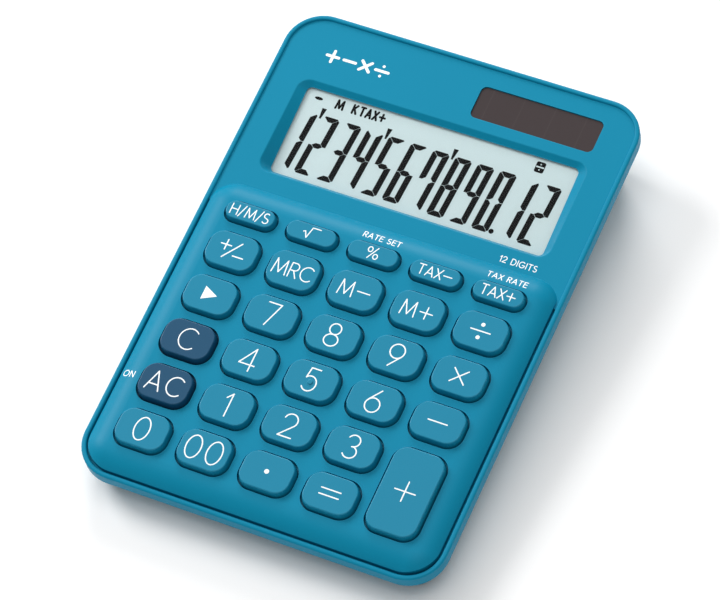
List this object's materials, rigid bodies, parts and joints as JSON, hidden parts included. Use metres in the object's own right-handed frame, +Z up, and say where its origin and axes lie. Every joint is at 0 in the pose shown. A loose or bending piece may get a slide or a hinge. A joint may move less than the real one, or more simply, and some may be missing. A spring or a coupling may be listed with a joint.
{
  "type": "desk calculator",
  "caption": "Wedge shaped desk calculator with sprung keys, a tilted liquid crystal display, a solar cell and a screwed battery door underneath.",
  "frame": {"origin": "on the table, under the middle of the case's outline", "axes": "+X to the user's right, +Y to the rear where the display is, +Z up"},
  "size_m": [0.105, 0.1493, 0.0228],
  "materials": {
    "case_blue": "fine satin",
    "case_lower": "fine satin",
    "key_blue": "satin",
    "key_navy": "satin",
    "clear_lens": "clear",
    "lcd": "glossy",
    "film": "pearl",
    "white_plastic": "satin",
    "steel": "plated",
    "ribbon": "amber film",
    "solar_window": "dark gloss",
    "solar_cell": "dark gloss",
    "wire_red": "satin",
    "wire_black": "satin",
    "rubber_mat": "matt",
    "board": "solder mask",
    "resin": "resin",
    "capacitor": "sleeved",
    "diode": "resin",
    "foot_rubber": "matt",
    "contact": "nickel"
  },
  "bodies": {
    "case": {"top_case": "case_blue", "bottom_case": "case_lower", "battery_door": "case_lower", "lcd_lens": "clear_lens", "lcd_glass": "lcd", "lcd_reflector": "film", "lcd_frame": "white_plastic", "lcd_screws": "steel", "lcd_ribbon": "ribbon", "solar_cover": "solar_window", "solar_cell": "solar_cell", "solar_wire_red": "wire_red", "solar_wire_black": "wire_black", "battery_wire_red": "wire_red", "battery_wire_black": "wire_black", "key_mat": "rubber_mat", "main_board": "board", "chip_cap": "resin", "filter_capacitor": "capacitor", "limiting_diode": "diode", "chip_resistors": "resin", "case_screws": "steel", "board_screws": "steel", "battery_door_screw": "steel", "rubber_feet": "foot_rubber", "button_cell": "steel", "battery_contact_negative": "contact", "battery_contact_positive": "contact"},
    "button_time": {"key_time": "key_blue"},
    "button_square_root": {"key_square_root": "key_blue"},
    "button_percent": {"key_percent": "key_blue"},
    "button_tax_minus": {"key_tax_minus": "key_blue"},
    "button_tax_plus": {"key_tax_plus": "key_blue"},
    "button_sign": {"key_sign": "key_blue"},
    "button_memory_recall": {"key_memory_recall": "key_blue"},
    "button_memory_minus": {"key_memory_minus": "key_blue"},
    "button_memory_plus": {"key_memory_plus": "key_blue"},
    "button_divide": {"key_divide": "key_blue"},
    "button_backspace": {"key_backspace": "key_blue"},
    "button_7": {"key_7": "key_blue"},
    "button_8": {"key_8": "key_blue"},
    "button_9": {"key_9": "key_blue"},
    "button_multiply": {"key_multiply": "key_blue"},
    "button_clear": {"key_clear": "key_navy"},
    "button_4": {"key_4": "key_blue"},
    "button_5": {"key_5": "key_blue"},
    "button_6": {"key_6": "key_blue"},
    "button_subtract": {"key_subtract": "key_blue"},
    "button_all_clear": {"key_all_clear": "key_navy"},
    "button_1": {"key_1": "key_blue"},
    "button_2": {"key_2": "key_blue"},
    "button_3": {"key_3": "key_blue"},
    "button_0": {"key_0": "key_blue"},
    "button_00": {"key_00": "key_blue"},
    "button_point": {"key_point": "key_blue"},
    "button_equals": {"key_equals": "key_blue"},
    "button_add": {"key_add": "key_blue"}
  },
  "joints": [
    {"name": "key_time_press", "type": "slide", "parent": "case", "child": "button_time", "axis": [0, 0.0802, -0.9968], "range_m": [0, 0.0015], "stiffness_N_per_m": 200, "springref_m": -0.0015, "deforming": ["key_mat"]},
    {"name": "key_square_root_press", "type": "slide", "parent": "case", "child": "button_square_root", "axis": [0, 0.0802, -0.9968], "range_m": [0, 0.0015], "stiffness_N_per_m": 200, "springref_m": -0.0015, "deforming": ["key_mat"]},
    {"name": "key_percent_press", "type": "slide", "parent": "case", "child": "button_percent", "axis": [0, 0.0802, -0.9968], "range_m": [0, 0.0015], "stiffness_N_per_m": 200, "springref_m": -0.0015, "deforming": ["key_mat"]},
    {"name": "key_tax_minus_press", "type": "slide", "parent": "case", "child": "button_tax_minus", "axis": [0, 0.0802, -0.9968], "range_m": [0, 0.0015], "stiffness_N_per_m": 200, "springref_m": -0.0015, "deforming": ["key_mat"]},
    {"name": "key_tax_plus_press", "type": "slide", "parent": "case", "child": "button_tax_plus", "axis": [0, 0.0802, -0.9968], "range_m": [0, 0.0015], "stiffness_N_per_m": 200, "springref_m": -0.0015, "deforming": ["key_mat"]},
    {"name": "key_sign_press", "type": "slide", "parent": "case", "child": "button_sign", "axis": [0, 0.0802, -0.9968], "range_m": [0, 0.0015], "stiffness_N_per_m": 220, "springref_m": -0.0015, "deforming": ["key_mat"]},
    {"name": "key_memory_recall_press", "type": "slide", "parent": "case", "child": "button_memory_recall", "axis": [0, 0.0802, -0.9968], "range_m": [0, 0.0015], "stiffness_N_per_m": 220, "springref_m": -0.0015, "deforming": ["key_mat"]},
    {"name": "key_memory_minus_press", "type": "slide", "parent": "case", "child": "button_memory_minus", "axis": [0, 0.0802, -0.9968], "range_m": [0, 0.0015], "stiffness_N_per_m": 220, "springref_m": -0.0015, "deforming": ["key_mat"]},
    {"name": "key_memory_plus_press", "type": "slide", "parent": "case", "child": "button_memory_plus", "axis": [0, 0.0802, -0.9968], "range_m": [0, 0.0015], "stiffness_N_per_m": 220, "springref_m": -0.0015, "deforming": ["key_mat"]},
    {"name": "key_divide_press", "type": "slide", "parent": "case", "child": "button_divide", "axis": [0, 0.0802, -0.9968], "range_m": [0, 0.0015], "stiffness_N_per_m": 220, "springref_m": -0.0015, "deforming": ["key_mat"]},
    {"name": "key_backspace_press", "type": "slide", "parent": "case", "child": "button_backspace", "axis": [0, 0.0802, -0.9968], "range_m": [0, 0.0015], "stiffness_N_per_m": 220, "springref_m": -0.0015, "deforming": ["key_mat"]},
    {"name": "key_7_press", "type": "slide", "parent": "case", "child": "button_7", "axis": [0, 0.0802, -0.9968], "range_m": [0, 0.0015], "stiffness_N_per_m": 220, "springref_m": -0.0015, "deforming": ["key_mat"]},
    {"name": "key_8_press", "type": "slide", "parent": "case", "child": "button_8", "axis": [0, 0.0802, -0.9968], "range_m": [0, 0.0015], "stiffness_N_per_m": 220, "springref_m": -0.0015, "deforming": ["key_mat"]},
    {"name": "key_9_press", "type": "slide", "parent": "case", "child": "button_9", "axis": [0, 0.0802, -0.9968], "range_m": [0, 0.0015], "stiffness_N_per_m": 220, "springref_m": -0.0015, "deforming": ["key_mat"]},
    {"name": "key_multiply_press", "type": "slide", "parent": "case", "child": "button_multiply", "axis": [0, 0.0802, -0.9968], "range_m": [0, 0.0015], "stiffness_N_per_m": 220, "springref_m": -0.0015, "deforming": ["key_mat"]},
    {"name": "key_clear_press", "type": "slide", "parent": "case", "child": "button_clear", "axis": [0, 0.0802, -0.9968], "range_m": [0, 0.0015], "stiffness_N_per_m": 220, "springref_m": -0.0015, "deforming": ["key_mat"]},
    {"name": "key_4_press", "type": "slide", "parent": "case", "child": "button_4", "axis": [0, 0.0802, -0.9968], "range_m": [0, 0.0015], "stiffness_N_per_m": 220, "springref_m": -0.0015, "deforming": ["key_mat"]},
    {"name": "key_5_press", "type": "slide", "parent": "case", "child": "button_5", "axis": [0, 0.0802, -0.9968], "range_m": [0, 0.0015], "stiffness_N_per_m": 220, "springref_m": -0.0015, "deforming": ["key_mat"]},
    {"name": "key_6_press", "type": "slide", "parent": "case", "child": "button_6", "axis": [0, 0.0802, -0.9968], "range_m": [0, 0.0015], "stiffness_N_per_m": 220, "springref_m": -0.0015, "deforming": ["key_mat"]},
    {"name": "key_subtract_press", "type": "slide", "parent": "case", "child": "button_subtract", "axis": [0, 0.0802, -0.9968], "range_m": [0, 0.0015], "stiffness_N_per_m": 220, "springref_m": -0.0015, "deforming": ["key_mat"]},
    {"name": "key_all_clear_press", "type": "slide", "parent": "case", "child": "button_all_clear", "axis": [0, 0.0802, -0.9968], "range_m": [0, 0.0015], "stiffness_N_per_m": 220, "springref_m": -0.0015, "deforming": ["key_mat"]},
    {"name": "key_1_press", "type": "slide", "parent": "case", "child": "button_1", "axis": [0, 0.0802, -0.9968], "range_m": [0, 0.0015], "stiffness_N_per_m": 220, "springref_m": -0.0015, "deforming": ["key_mat"]},
    {"name": "key_2_press", "type": "slide", "parent": "case", "child": "button_2", "axis": [0, 0.0802, -0.9968], "range_m": [0, 0.0015], "stiffness_N_per_m": 220, "springref_m": -0.0015, "deforming": ["key_mat"]},
    {"name": "key_3_press", "type": "slide", "parent": "case", "child": "button_3", "axis": [0, 0.0802, -0.9968], "range_m": [0, 0.0015], "stiffness_N_per_m": 220, "springref_m": -0.0015, "deforming": ["key_mat"]},
    {"name": "key_0_press", "type": "slide", "parent": "case", "child": "button_0", "axis": [0, 0.0802, -0.9968], "range_m": [0, 0.0015], "stiffness_N_per_m": 220, "springref_m": -0.0015, "deforming": ["key_mat"]},
    {"name": "key_00_press", "type": "slide", "parent": "case", "child": "button_00", "axis": [0, 0.0802, -0.9968], "range_m": [0, 0.0015], "stiffness_N_per_m": 220, "springref_m": -0.0015, "deforming": ["key_mat"]},
    {"name": "key_point_press", "type": "slide", "parent": "case", "child": "button_point", "axis": [0, 0.0802, -0.9968], "range_m": [0, 0.0015], "stiffness_N_per_m": 220, "springref_m": -0.0015, "deforming": ["key_mat"]},
    {"name": "key_equals_press", "type": "slide", "parent": "case", "child": "button_equals", "axis": [0, 0.0802, -0.9968], "range_m": [0, 0.0015], "stiffness_N_per_m": 220, "springref_m": -0.0015, "deforming": ["key_mat"]},
    {"name": "key_add_press", "type": "slide", "parent": "case", "child": "button_add", "axis": [0, 0.0802, -0.9968], "range_m": [0, 0.0015], "stiffness_N_per_m": 260, "springref_m": -0.0015, "deforming": ["key_mat"]}
  ]
}
